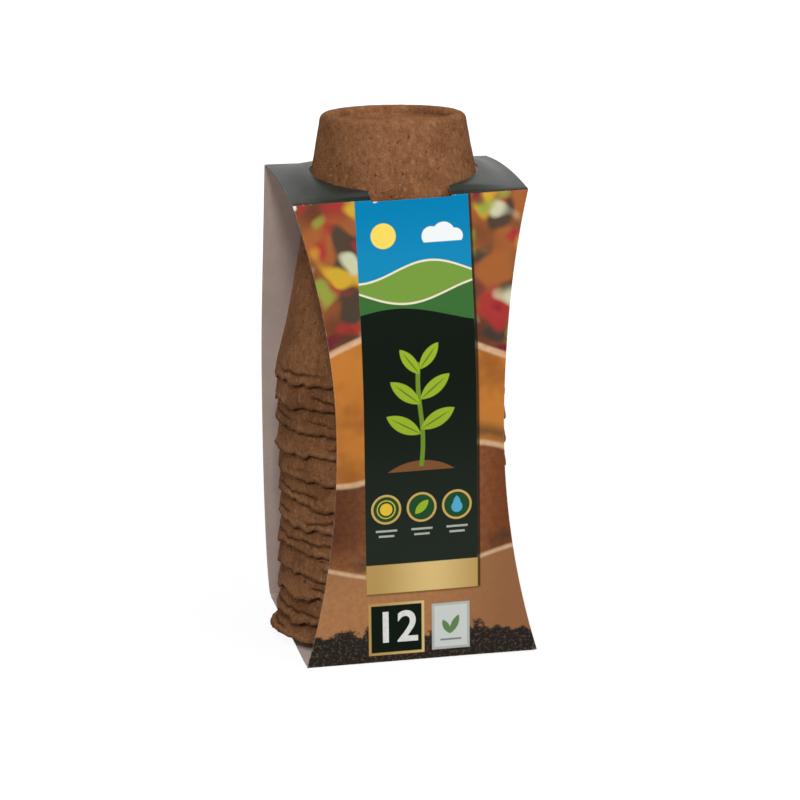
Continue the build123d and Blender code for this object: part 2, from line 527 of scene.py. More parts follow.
def make_pot(name, pots, lumps, material, lip_above):
    """One pot: a closed shell with lumpy walls and a torn rim, in its solid's place. Gives the height of its rim."""
    low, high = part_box(name)
    rim_radius, pot_height = high.x, high.z - low.z
    solid = solid_points(name)
    rise = solid[:, 2] - low.z
    inset = (rim_radius - np.hypot(solid[:, 0], solid[:, 1])) / np.maximum(rise, MM)
    slope = inset[rise > pot_height / 2].min()
    across = pots.wall * math.hypot(1, slope)
    top, lowest = name == POTS[0], name == POTS[-1]
    path = pot_section(pots, rim_radius, slope, across, pot_height, TOP_WALL_STEP if top else HIDDEN_WALL_STEP)

    ahead = unit(np.roll(path, -1, 0) - np.roll(path, 1, 0))
    out_r, out_z = -ahead[:, 1:], ahead[:, :1]
    outside, upside = out_r > FACING, out_z > FACING
    turn = np.linspace(0, 2 * math.pi, pots.around, endpoint=False)
    aim = np.stack([np.cos(turn), np.sin(turn), np.zeros_like(turn)], axis=-1)
    left, right = np.maximum(-aim[:, 0], 0), np.maximum(aim[:, 0], 0)
    radius, height = path[:, :1], path[:, 1:]
    level = low.z + height
    place = radius[..., None] * aim + level[..., None] * UP

    # Lumps where the wall and the base show; inside the nest the walls stay true, so that they clear each other.
    # A shift of a place by tenths of a metre reads another part of the lumps
    bared = 1 if top else 1 - step_up(height, PITCH, PITCH + 2 * MM)
    dents = (0.9 if top else 0.45) * step_up(lumps(place + 0.3, DENT_SIZE), 0.45, 0.8)
    push = 0.8 * pots.lump * (lumps.layered(place, WALL_LAYERS) - dents) * (outside | upside) * bared

    # The whole stack swells where the sleeve leaves its left side open: one field for all the pots, level by level
    stack = rim_radius * aim + level[..., None] * UP
    leftward = left ** 1.2 * (1 + 0.4 * lumps(stack, SWELL_SIZE)) * (1 - 0.3 * step_up(level, TOP_RIM / 2, TOP_RIM))
    flare = pots.bulge * (leftward - 1.05 * right ** 2) * (1 - step_up(level, TOP_RIM, TOP_RIM + 2.6 * pots.band))

    # Each rim's edge is torn, and the lowest rims splay at their left front
    ring = rim_radius * aim + (9 * low.z + 0.5) * UP
    bite = step_up(lumps(ring + 0.2, BITE_SIZE), 0.3, 0.8)
    tear = lumps.layered(ring, TEAR_LAYERS) + 0.8 * bite
    corner = step_up(-0.85 * aim[:, 0] - 0.35 * aim[:, 1], 0.2, 0.95)
    tear = np.abs(tear) * 0.7 + 1.5 * corner if lowest else np.maximum(tear, -0.9)
    drop = pots.tear * tear * near_rim(height, 0.6 * pots.band, 1.3)
    from_foot = len(POTS) - 1 - POTS.index(name)
    flare = flare + pots.splay * SPLAY_KEPT ** from_foot * corner * near_rim(height, PITCH, 1.3)

    # The edge is thinned from outside, turned a little outwards and frayed, and it stops short of the glue flap
    skin = np.clip((radius - rim_radius + slope * height) / across + 1, 0, 1)
    flare = flare - pots.feather * skin * near_rim(height, FEATHER_REACH)
    turned = LIP_TURN * np.maximum(lumps(ring + 0.6, LIP_SIZE), 0) * (left + 0.3) + LIP_LEAST * left
    flare = flare + near_rim(height, LIP_REACH, 1.5) * turned + 0.3 * np.maximum(-drop, 0)
    fray = near_rim(height, FRAY_REACH)
    flare = flare + fray * FRAY_OUT * np.abs(lumps(place, FRAY_OUT_SIZE))
    flare = np.minimum(flare, (-FLAP_HIGH.y - FLAP_GAP) / np.maximum(np.abs(aim[:, 1]), 0.1) - rim_radius)

    # A second, shorter crack runs over some of the rims
    run = (CRACK_HEIGHT_MM + lumps.layered(ring, CRACK_LAYERS)) * MM
    crack = step_up(lumps(ring + 0.4, BREAK_SIZE), 0.0, 0.3) * hump(height, run, CRACK_WIDTH) * outside
    push = push - CRACK_DEPTH * crack

    reach = radius + out_r * push + flare
    raised = height + out_z * push + drop + fray * FRAY_UP * np.abs(lumps(place + 0.1, FRAY_UP_SIZE))
    points = reach[..., None] * aim + (low.z + raised)[..., None] * UP
    index = np.arange(reach.size).reshape(reach.shape)
    along = np.roll(index, -1, 0)
    faces = np.stack([index, along, np.roll(along, -1, 1), np.roll(index, -1, 1)], axis=-1).reshape(-1, 4)
    piece = add_piece(f"{name}_fibre", points.reshape(-1, 3), faces.tolist(), [material])
    # Painted shade for the material's rim values: darker at the torn edge, in the second crack and on the wall just
    # under the lip of the pot above
    edge_shade = np.exp(-np.maximum(height, 0) / EDGE_SHADE_REACH)
    under_lip_shade = step_up(points[..., 2] - lip_above, *LIP_SHADE) * outside
    add_values(piece, "rim", np.maximum(np.maximum(edge_shade, crack), under_lip_shade))
    # Painted highlight for the material's lip values: a pale line a little above the rim
    pale = hump(height, LIP_HIGHLIGHT_HEIGHT, LIP_HIGHLIGHT_WIDTH) * outside
    add_values(piece, "lip", np.broadcast_to(pale, reach.shape))
    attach(piece, name)
    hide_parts(name)
    return low.z + pots.tear * tear


class POTPACK_OT_pots(bpy.types.Operator):
    """Make the nested fibre pots"""

    bl_idname = "potpack.pots"
    bl_label = "Fibre pots"

    def execute(self, context):
        pots = context.scene.pot_pack.pots
        material = fibre_material(pots)
        lumps = Lumps(pots.seed)
        lip = CAD_BOX[1].z + pots.band
        for name in POTS:
            lip = make_pot(name, pots, lumps, material, lip)
        return {"FINISHED"}


class Print:
    """Shapes laid one over another on a sheet of card, at places in millimetres on its flat blank."""

    def __init__(self, paint):
        self.paint = paint
        self.place = paint.card_place()
        self.across, self.along = paint.split(self.place)
        self.shade = None

    def lay(self, tint, mask):
        """Covers the print with a colour where the mask is 1."""
        self.shade = self.paint.over(self.shade, tint, mask)

    def fill(self, tint, distance):
        """Covers the print with a colour where a signed distance is below 0."""
        self.lay(tint, self.inside(distance))

    def inside(self, distance, soft=SOFT_EDGE):
        """1 where a signed distance is below 0."""
        return 1 - distance.fade(-soft, soft)

    def noise(self, *settings, shift=None):
        """Noise over the card, read at a shifted place where a shift is given."""
        place = self.paint.moved(self.place, (*shift, 0)) if shift else self.place
        return self.paint.noise(place, *settings)

    def wave(self, rate, phase, swing, middle):
        """Height of a wavy line across the card."""
        return (self.across * rate + phase).sine() * swing + middle

    def box(self, middle, half):
        """Signed distance to a rectangle's edge."""
        return (abs(self.across - middle[0]) - half[0]).most(abs(self.along - middle[1]) - half[1])

    def from_point(self, middle):
        return self.paint.node("ShaderNodeVectorMath", {"operation": "DISTANCE"}, {0: self.place, 1: (*middle, 0)},
                               output="Value")

    def disc(self, middle, radius):
        return self.from_point(middle) - radius

    def ring(self, middle, radius, line):
        return abs(self.from_point(middle) - radius) - line / 2

    def leaf(self, stalk, tip, width):
        """Signed distance to a leaf: the overlap of two discs that cross at its stalk and its tip."""
        stalk, tip = np.array(stalk, float), np.array(tip, float)
        run = tip - stalk
        span = np.linalg.norm(run)
        radius = (span ** 2 + width ** 2) / (4 * width)
        aside = np.array([-run[1], run[0]]) / span * (radius - width / 2)
        middle = (stalk + tip) / 2
        return self.disc(middle + aside, radius).most(self.disc(middle - aside, radius))


def garden_ground(art, sleeve):
    """Blurred warm colours above, clay-coloured waves below them and crumbs of soil along the foot."""
    over, across, along = art.paint.over, art.across, art.along
    garden = over(srgb(160, 94, 50), srgb(100, 58, 40), art.noise(0.05, 1).fade(0.35, 0.65))
    for tint, shift, low in GARDEN:
        patch = art.noise(0.075, 1, 0.4, shift=shift)
        garden = over(garden, srgb(*tint), patch.fade(low, low + 0.11) * 0.9)
    weave = art.noise(0.5, 5, 0.7)
    speckle = art.noise(1.1, 3, 0.6, shift=(8, 15)).fade(0.6, 0.7)
    clouding = art.noise(0.05, 3, 0.6, shift=(40, 11))
    clay = over(sleeve.clay, srgb(118, 66, 34), (1 - clouding.fade(0.3, 0.6)) * 0.6)
    pale = over(sleeve.clay_pale, srgb(128, 78, 48), (1 - weave.fade(0.35, 0.62)) * 0.6)
    pale = over(pale, srgb(92, 54, 34), speckle * 0.45)
    pale = over(pale, srgb(70, 32, 24), along.fade(20, 46) * (1 - across.fade(-32, 12)) * 0.85)
    pale = over(pale, srgb(104, 52, 28), across.fade(0, 32) * 0.9)

    wave_high = art.wave(0.062, 1.9, 7, 106)
    wave_mid = art.wave(0.075, 0.4, 6, 68)
    wave_low = art.wave(0.06, -1.1, 5, 34)
    art.shade = clay
    art.lay(garden, (along - wave_high).fade(-1.2, 1.2))
    art.lay(pale, (wave_mid - along).fade(-0.4, 0.4))
    art.lay(over(srgb(172, 126, 86), pale, 0.5), (wave_low - along).fade(-0.4, 0.4))
    for edge, line in ((wave_high, 1.1), (wave_mid, 0.9), (wave_low, 0.7)):
        brim = art.inside(abs(along - edge) - line, 0.6)
        art.lay(srgb(226, 190, 150), brim * (weave * 0.7 + 0.35))
        hollow = art.inside(abs(along - edge - 4) - 2.2, 2.5)
        art.lay(srgb(62, 52, 42), hollow * clouding.fade(0.45, 0.6) * 0.7)

    heap = art.noise(0.06, 2) * 20 - 5 + art.noise(0.45, 4, 0.65) * 9
    crumbs = over(sleeve.soil, srgb(98, 84, 70), art.noise(0.9, 4, 0.7).fade(0.48, 0.7) * 0.8)
    art.lay(crumbs, (heap - along).fade(-0.8, 0.8))


def seedling(art, sleeve, foot):
    """A drawn seedling with three pairs of leaves on a small mound, in the middle of the card."""
    art.fill(srgb(124, 82, 50), art.disc((0, foot - 17), 20).most(foot - 0.5 - art.along))
    stem = abs(art.across - ((art.along - foot) * 0.16).sine() * 0.7) - 0.75
    art.fill(srgb(110, 142, 44), stem.most(foot + 1 - art.along).most(art.along - (foot + 36)))
    for start, reach, rise, width in LEAVES:
        for way, later in ((-1, 0), (1, 1.6)):
            stalk = np.array([0, foot + start + later])
            run = np.array([way * reach, rise])
            art.fill(sleeve.leaf_light, art.leaf(stalk, stalk + run, width))
            art.fill(srgb(92, 122, 36), art.leaf(stalk, stalk + 0.86 * run, 0.5))


def badges(art, sleeve, height):
    """Three small rings in a row, each over two short rules: a sun, a leaf and a drop."""
    for across in (-BADGE_STEP, 0, BADGE_STEP):
        art.fill(srgb(34, 74, 44), art.disc((across, height), 4.7))
        art.fill(sleeve.gold, art.ring((across, height), 4.7, 0.75))
        for step, half in ((7.4, 3.6), (9.2, 2.6)):
            art.fill(srgb(176, 180, 168), art.box((across, height - step), (half, 0.35)))
    sun, yellow = (-BADGE_STEP, height), srgb(226, 190, 60)
    art.fill(yellow, art.disc(sun, 2.1))
    art.fill(yellow, art.ring(sun, 3.0, 0.35))
    art.fill(sleeve.leaf_light, art.leaf((-2.2, height - 2.2), (2.3, height + 2.3), 2.8))
    point = art.leaf((BADGE_STEP, height - 2.2), (BADGE_STEP, height + 3), 2.6)
    art.fill(srgb(86, 170, 206), art.disc((BADGE_STEP, height - 0.8), 1.9).least(point))


def sky_head(art, sleeve, top, foot):
    """A sky-blue head with a sun and a cloud over two low hills, and a dark bank below them, painted lighter towards
    its foot as a reflection of the bright floor.
    """
    over, along = art.paint.over, art.along
    field = abs(art.across) - COLUMN_HALF
    hill = art.wave(0.13, 0.9, 3.2, foot)
    near_hill = art.wave(0.11, -1.2, 3.6, foot - 7)
    sky = over(sleeve.sky, srgb(44, 156, 196), (1 - along.fade(foot, top)) * 0.25)
    art.fill(sky, field.most(near_hill - along))
    art.fill(srgb(244, 214, 96), art.disc((-10, top - 12), 4.2))
    first, second, third = (art.disc((across, top - drop), radius) for across, drop, radius in CLOUD)
    art.fill(srgb(236, 240, 240), first.least(second).least(third).most(top - 15 - along))
    for edge, tint in ((hill, srgb(116, 152, 62)), (near_hill, srgb(58, 106, 52))):
        art.fill(tint, field.most(along - edge).most(foot - 19 - along))
        art.fill(sleeve.cream, field.most(abs(along - edge) - 0.35))
    bank = art.wave(0.09, 2.2, 3, foot - 15)
    # Painted reflection of the bright floor: the dark bank turns lighter towards its foot
    dark = over(srgb(32, 41, 33), sleeve.leaf_dark, along.fade(36, 104))
    art.fill(dark, field.most(along - bank).most(24 - along))


def plain_dark(art, sleeve):
    """Plain charcoal print, a little uneven as ink on board is."""
    return art.paint.over(sleeve.charcoal, srgb(46, 52, 45), art.noise(0.05, 3).fade(0.35, 0.65) * 0.6)


def past_fold(art, sleeve, fold_along):
    """The top panel's plain print, which starts at a fold."""
    art.lay(plain_dark(art, sleeve), (art.along - fold_along).fade(-0.15, 0.1))


def front_art(art, sleeve, fold_along):
    """The print of the front panel, with plain drawn motifs."""
    garden_ground(art, sleeve)
    art.lay(srgb(16, 22, 17), art.inside(art.box((19.4, 91), (0.5, 67)), 0.3) * 0.85)
    sky_head(art, sleeve, fold_along, HILLS_FOOT)
    seedling(art, sleeve, SEEDLING_FOOT)
    badges(art, sleeve, FRONT_BADGES)

    # Painted highlight across the gold band, brightest a little right of its middle
    glint = 1 - (abs(art.across - 3) / 20).fade(0.0, 1.0)
    gold = art.paint.over(srgb(184, 150, 88), srgb(220, 190, 126), glint)
    art.lay(srgb(96, 70, 34), art.inside(art.box((0.3, 28.6), (19.2, 5.2)), 0.4) * 0.7)
    art.fill(gold, art.box((0, 29), (COLUMN_HALF, 5)))
    for middle, half, border, ground in (
        (DARK_PLATE, (8.6, 8.2), gold, sleeve.leaf_dark),
        (PALE_PLATE, (5.6, 7.2), srgb(180, 184, 178), srgb(206, 210, 206)),
    ):
        plate = art.box(middle, half)
        art.fill(border, plate - 0.9)
        art.fill(ground, plate)
    for tip, width in (((12.4, 14.6), 2.4), ((6.8, 13.2), 2.2)):
        art.fill(srgb(96, 132, 84), art.leaf((9.4, 8.2), tip, width))
    art.fill(srgb(120, 128, 120), art.box((PALE_PLATE[0], 6.2), (3.6, 0.3)))

    # Two chips in the print at the fold
    chips = art.disc((-12.2, fold_along - 0.3), 0.7).least(art.disc((-38.9, fold_along - 1.0), 0.8))
    art.lay(srgb(222, 220, 214), art.inside(chips + art.noise(1.1, 3) * 2.4 - 1.2, 0.2))
    past_fold(art, sleeve, fold_along)


def back_art(art, sleeve, fold_along):
    """The print of the back panel: the same warm ground, and a dark panel with plain rules and a bare plate."""
    garden_ground(art, sleeve)
    panel = art.box((0, 98), (30, 52))
    art.fill(sleeve.gold, panel - 0.9)
    art.fill(sleeve.leaf_dark, panel)
    badges(art, sleeve, BACK_BADGES)
    for row in range(7):
        middle, half = (-3, 19) if row % 3 else (0, 22)
        art.fill(srgb(150, 156, 146), art.box((middle, 108 - 4 * row), (half, 0.45)))
    art.fill(srgb(206, 210, 206), art.box((0, 62), (24, 9)))
    art.fill(sleeve.charcoal, art.along - 4)
    past_fold(art, sleeve, fold_along)


def plain_art(art, sleeve):
    """The print of the top and the bottom panel."""
    art.shade = plain_dark(art, sleeve)


def printed_material(name, sheen, draw, *given):
    """Varnished print on card, with bare board showing where folds and edges are worn."""
    paint = Paint(name, Specular_IOR_Level=sheen)
    art = Print(paint)
    draw(art, *given)
    fibres = art.noise(0.8, 4, 0.6)
    chips = art.noise(0.9, 4, 0.7)
    worn_edge = (1 - paint.attribute("edge_mm").fade(0.0, 0.3)) * chips.fade(0.44, 0.7) * 0.5
    worn_crease = (1 - paint.attribute("crease_mm").fade(0.05, 0.4)) * chips.fade(0.56, 0.7) * 0.45
    worn = worn_edge.most(worn_crease)
    art.lay(srgb(206, 200, 188), worn)
    normal = paint.bump(art.noise(0.06, 2) + fibres * 0.02, 0.2, 0.3 * MM)
    return paint.finish(Base_Color=art.shade, Roughness=fibres * 0.08 + 0.34 + worn * 0.3, Normal=normal)


def board_material(name, main, specks):
    """Bare recycled board: greyish, with short dark and pale fibres."""
    paint = Paint(name, Specular_IOR_Level=0.2)
    place = paint.card_place()
    strands = abs(paint.noise(place, 0.5, 3, 0.6, 1.0) - 0.5)
    cloud = paint.noise(place, 0.08, 3)
    speck = paint.noise(paint.moved(place, (9, 4, 0)), 1.3, 3, 0.6)
    dark = tuple(0.62 * channel for channel in main)
    shade = paint.over(main, dark, (1 - cloud.fade(0.3, 0.7)) * 0.22)
    shade = paint.over(shade, dark, speck.fade(0.6, 0.72) * specks)
    shade = paint.over(shade, srgb(222, 214, 202), (1 - strands.fade(0.006, 0.03)) * specks)
    normal = paint.bump(speck * 0.5 + strands * 0.3, 0.3, 0.15 * MM)
    return paint.finish(Base_Color=shade, Roughness=speck * 0.08 + 0.84, Normal=normal)


def card_materials(name, sleeve, cut, draw, *given, sheen=0.05):
    """The print, the bare inside and the cut edge of one sheet of card."""
    return [printed_material(f"{name}_print", sheen, draw, sleeve, *given),
            board_material(f"{name}_inside", sleeve.board, 0.16), board_material(f"{name}_cut_edge", cut, 0.2)]


def card_grid(name, outer, normals, blank, materials, edge, crease=None, keep=None):
    """A sheet of card: an outer and an inner face, with cut edges wherever the grid ends."""
    rows, columns = outer.shape[:2]
    crease = np.full(edge.shape, FAR_FROM_CREASE) if crease is None else crease
    keep = np.ones((rows - 1, columns - 1), bool) if keep is None else keep
    count = rows * columns
    index = np.arange(count).reshape(rows, columns)
    corners = np.stack([index[:-1, :-1], index[:-1, 1:], index[1:, 1:], index[1:, :-1]], axis=-1)
    padded = np.pad(keep, 1)
    beside = (padded[:-2, 1:-1], padded[1:-1, 2:], padded[2:, 1:-1], padded[1:-1, :-2])
    groups = [corners[keep], corners[keep][:, ::-1] + count]
    for side, there in enumerate(beside):
        start, end = corners[keep & ~there][:, [side, (side + 1) % 4]].T
        groups.append(np.stack([end, start, start + count, end + count], axis=1))
    faces = np.concatenate(groups)
    slots = np.repeat([0, 1, 2, 2, 2, 2], [len(group) for group in groups]).tolist()
    used, renumbered = np.unique(faces, return_inverse=True)
    points = np.concatenate([outer, outer - normals * BOARD]).reshape(-1, 3)[used]
    faces = renumbered.reshape(faces.shape)
    piece = add_piece(name, points, faces.tolist(), materials, slots)
    piece.data.set_sharp_from_angle(angle=SHARP_ANGLE)
    flat = np.tile(blank.reshape(-1, 2), (2, 1))[used] / MM
    layer = piece.data.uv_layers.new(name="card_mm")
    layer.data.foreach_set("uv", flat[faces].astype(np.float32).ravel())
    for label, values in (("edge_mm", edge), ("crease_mm", crease)):
        add_values(piece, label, np.tile(np.ravel(values), 2)[used] / MM)
    return piece


def along_path(path):
    """Distance from the start of a path to each of its points."""
    return np.concatenate([[0], np.cumsum(np.linalg.norm(np.diff(path, axis=0), axis=1))])


def outward(path, way):
    """Unit normals of a path in the Y-Z plane, to its right (way 1) or its left (way -1)."""
    ahead = unit(np.gradient(path, axis=0))
    return way * np.stack([ahead[:, 1], -ahead[:, 0]], axis=1)


def arc_radius(half_chord, rise):
    """Radius of an arc with this rise over its chord."""
    return (half_chord ** 2 + rise ** 2) / (2 * rise)


def arch_height(sleeve, y):
    """Height of the top panel's outer face at a distance from front to back."""
    front, back = np.array(FRONT_FOLD.yz), np.array(LID_FOLD.yz)
    chord = back - front
    span = np.linalg.norm(chord)
    radius = arc_radius(span / 2, sleeve.top_arch)
    normal = np.array([-chord[1], chord[0]]) / span
    centre = (front + back) / 2 - normal * (radius - sleeve.top_arch)
    return centre[1] + np.sqrt(radius ** 2 - (np.asarray(y) - centre[0]) ** 2)


def hole_lift(sleeve, x, y):
    """How far the top panel's face is lifted near its hole, where the top pot wedges it up."""
    off = np.maximum(np.hypot(x, y + sleeve.hole_shift) - HOLE_NEAREST - sleeve.hole_shift, 0)
    held = step_up(y - FRONT_FOLD.y, 0, LIFT_FRONT) * step_up(LID_FOLD.y - y, 0, LIFT_BACK)
    return sleeve.dome * hump(off, 0, LIFT_REACH) * held * step_up(HALF_WIDTH - np.abs(x), 0, LIFT_SIDE)


def off_true(sleeve, across, share):
    """How far a point of the panels at the front fold stands too high or too low, as the real card does."""
    return sleeve.skew * across / HALF_WIDTH * share


def panel_path(sleeve, fold, way, foot_z):
    """Outer face of the front (way -1) or the back (way 1) in the Y-Z plane, from its foot over its fold."""
    bend_z = TOP_RIM - sleeve.bend_lead
    low, high = 0.0, math.radians(30)
    for _ in range(60):  # halves the range until the lean meets the fold
        lean = (low + high) / 2
        straight = fold.z - bend_z - sleeve.bend_radius * math.sin(lean)
        reach = HALF_DEPTH - sleeve.bend_radius * (1 - math.cos(lean)) - straight * math.tan(lean)
        low, high = (lean, high) if reach > way * fold.y else (low, lean)
    corner_z = bend_z + sleeve.bend_radius * math.tan(lean / 2)
    end = fold.y - way * (sleeve.crease_run + sleeve.crease)
    corners = [(way * HALF_DEPTH, foot_z), (way * HALF_DEPTH, corner_z), fold.yz, (end, arch_height(sleeve, end))]
    radii = [0, sleeve.bend_radius, sleeve.crease, 0]
    return rounded_path(corners, radii, [3 * MM, 3 * MM, 1 * MM], arc_steps=BEND_STEPS)


def panel_grid(path, way, halves, shares, wave, seed):
    """Points, normals and blank places of a panel that is straight across."""
    across = halves[:, None] * shares
    outer = np.empty((*across.shape, 3))
    outer[..., 0] = across
    outer[..., 1:] = path[:, None, :]
    facing = np.zeros_like(outer)
    facing[..., 1:] = outward(path, way)[:, None, :]
    blank = np.stack([across, np.broadcast_to(along_path(path)[:, None], across.shape)], axis=-1)
    outer += facing * (wave * Lumps(seed)(outer, WAVE_SIZE))[..., None]
    return outer, facing, blank


def at_fold(path, blank, fold):
    """The row of a panel nearest to its fold, each point's distance from it, and its place along the print."""
    row = int(np.linalg.norm(path - np.array(fold.yz), axis=1).argmin())
    along = blank[row, 0, 1]
    return row, np.abs(blank[..., 1] - along), along / MM


class POTPACK_OT_front(bpy.types.Operator):
    """Make the waisted front panel and its folded upper edge"""

    bl_idname = "potpack.front"
    bl_label = "Sleeve front"

    def execute(self, context):
        sleeve = context.scene.pot_pack.sleeve
        foot_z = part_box("front_panel")[0].z
        path = panel_path(sleeve, FRONT_FOLD, -1, foot_z)
        waist = np.abs(solid_points("front_panel")[:, 0]).min()
        half_chord = (FRONT_FOLD.z - foot_z) / 2
        radius = arc_radius(half_chord, HALF_WIDTH - waist)
        level = np.clip(path[:, 1] - (foot_z + half_chord), -half_chord, half_chord)
        halves = waist + radius - np.sqrt(radius ** 2 - level ** 2)
        notch = sleeve.notch / HALF_WIDTH
        side = np.linspace(notch, 1, FRONT_COLUMNS)
        shares = np.concatenate([-side[::-1], np.linspace(-notch, notch, FRONT_COLUMNS)[1:-1], side])
        outer, facing, blank = panel_grid(path, -1, halves, shares, sleeve.wave, FRONT_SEED)
        rise = np.clip(outer[..., 2] / FRONT_FOLD.z, 0, 1)
        outer[..., 2] += off_true(sleeve, outer[..., 0], 0.25 + 0.75 * rise)
        outer[..., 2] = np.maximum(outer[..., 2], 0)

        top, crease, fold_along = at_fold(path, blank, FRONT_FOLD)
        outer[top:, :, 2] += hole_lift(sleeve, outer[top:, :, 0], outer[top:, :, 1])
        # The notch starts a few rows below the fold
        keep = np.ones((len(path) - 1, len(shares) - 1), bool)
        middle = (shares[:-1] > -notch - 1e-6) & (shares[1:] < notch + 1e-6)
        keep[top - 6:, middle] = False
        edge = np.minimum(halves[:, None] - np.abs(outer[..., 0]), blank[..., 1])
        materials = card_materials("front", sleeve, srgb(132, 116, 98), front_art, fold_along)
        piece = card_grid("sleeve_front_card", outer, facing, blank, materials, edge, crease, keep)
        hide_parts("front_panel")
        end = (0, *path[top - 8])
        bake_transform(piece)
        return {"FINISHED"}


class POTPACK_OT_back(bpy.types.Operator):
    """Make the straight-sided back panel and its folded upper edge"""

    bl_idname = "potpack.back"
    bl_label = "Sleeve back"

    def execute(self, context):
        sleeve = context.scene.pot_pack.sleeve
        path = panel_path(sleeve, LID_FOLD, 1, sleeve.crease)
        halves = np.full(len(path), HALF_WIDTH)
        shares = np.linspace(-1, 1, BACK_COLUMNS)
        outer, facing, blank = panel_grid(path, 1, halves, shares, sleeve.wave, BACK_SEED)
        blank[..., 0] *= -1
        edge = HALF_WIDTH - np.abs(outer[..., 0])
        rise = np.clip(outer[..., 2] / LID_FOLD.z, 0, 1)
        leftward = step_up(-outer[..., 0], 0, HALF_WIDTH)
        outer[..., 0] -= sleeve.bow * np.sin(math.pi * rise ** 0.6) * leftward
        top, crease, fold_along = at_fold(path, blank, LID_FOLD)
        materials = card_materials("back", sleeve, sleeve.core, back_art, fold_along)
        piece = card_grid("sleeve_back_card", outer[:, ::-1], facing, blank[:, ::-1], materials, edge, crease)
        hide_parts("back_panel")
        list(path[top - 8])
        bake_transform(piece)
        return {"FINISHED"}


class POTPACK_OT_top(bpy.types.Operator):
    """Make the arched top panel with its round hole and notch"""

    bl_idname = "potpack.top"
    bl_label = "Sleeve top"

    def execute(self, context):
        sleeve = context.scene.pot_pack.sleeve
        hole = HOLE_NEAREST + sleeve.hole_shift
        reach = sleeve.crease_run + sleeve.crease
        front, back = FRONT_FOLD.y + reach, LID_FOLD.y - reach

        # The right half of the notch and of the hole's torn edge, from the front to the back
        meet = math.acos(sleeve.notch / (hole - 0.65 * sleeve.hole_fray))
        turn = np.linspace(-meet, math.pi / 2, HOLE_STEPS)
        torn = hole - sleeve.hole_fray * (0.65 + 0.35 * step_up(np.sin(turn), -0.85, -0.2))
        arc = np.stack([torn * np.cos(turn), torn * np.sin(turn) - sleeve.hole_shift], axis=1)
        notch_y = np.linspace(front, arc[0, 1], NOTCH_STEPS)[:-1]
        right = np.concatenate([np.stack([np.full_like(notch_y, sleeve.notch), notch_y], axis=1), arc])

        # The point of the sheet's own outline that each of them is joined to
        corner = (hole - sleeve.hole_fray) * math.sqrt(0.5)
        rise = front + (right[:, 1] - front) / (corner - front) * (back - front)
        beside = np.stack([np.full_like(rise, HALF_WIDTH), rise], axis=1)
        behind = np.stack([right[:, 0] / corner * HALF_WIDTH, np.full_like(rise, back)], axis=1)
        sideways = (right[:, 0] >= corner) | (right[:, 1] < corner)
        rim = np.where(sideways[:, None], beside, behind)
        rim[:, 1] = np.minimum(rim[:, 1], back)

        inner, outline = (np.concatenate([half, (half * (-1, 1))[-2::-1]]) for half in (right, rim))
        flat = inner + (outline - inner) * np.linspace(0, 1, TOP_ROWS)[:, None, None]
        x, y = flat[..., 0], flat[..., 1]
        to_front = (LID_FOLD.y - y) / (LID_FOLD.y - FRONT_FOLD.y)
        z = arch_height(sleeve, y) + off_true(sleeve, x, to_front) + hole_lift(sleeve, x, y)
        step = 0.1 * MM
        slope = (arch_height(sleeve, y + step) - arch_height(sleeve, y - step)) / (2 * step)
        facing = unit(np.stack([np.zeros_like(slope), -slope, np.ones_like(slope)], axis=-1))
        edge = np.minimum(np.linalg.norm(flat - inner, axis=-1), HALF_WIDTH - np.abs(x))
        materials = card_materials("top", sleeve, srgb(112, 104, 92), plain_art, sheen=0.13)
        piece = card_grid("sleeve_top_card", np.stack([x, y, z], axis=-1), facing, flat, materials, edge)
        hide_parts("top_panel")
        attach(piece, "sleeve_lid")
        return {"FINISHED"}


class POTPACK_OT_bottom(bpy.types.Operator):
    """Make the bottom panel and the glue flap that turns up behind the front"""

    bl_idname = "potpack.bottom"
    bl_label = "Sleeve bottom"

    def execute(self, context):
        sleeve = context.scene.pot_pack.sleeve
        corners = [(HALF_DEPTH, sleeve.crease), (HALF_DEPTH, 0), (FLAP_LOW.y, 0), (FLAP_LOW.y, FLAP_HIGH.z)]
        bend = sleeve.crease * 0.9
        path = rounded_path(corners, [0, bend, bend, 0], [MM, 4 * MM, 1.5 * MM])
        on_flap = step_up(-path[:, 0], -FLAP_LOW.y - 1 * MM, -FLAP_LOW.y)
        chamfer = np.maximum(path[:, 1] - FLAP_HIGH.z / 2, 0) * on_flap
        halves = HALF_WIDTH + (FLAP_HIGH.x - HALF_WIDTH) * on_flap - chamfer
        outer, facing, blank = panel_grid(path, -1, halves, np.linspace(-1, 1, BOTTOM_COLUMNS), 0, BOTTOM_SEED)
        edge = halves[:, None] - np.abs(outer[..., 0])
        materials = card_materials("bottom", sleeve, sleeve.core, plain_art)
        piece = card_grid("sleeve_bottom_card", outer, facing, blank, materials, edge)
        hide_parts("bottom_panel", "glue_flap")
        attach(piece, "sleeve_base")
        return {"FINISHED"}


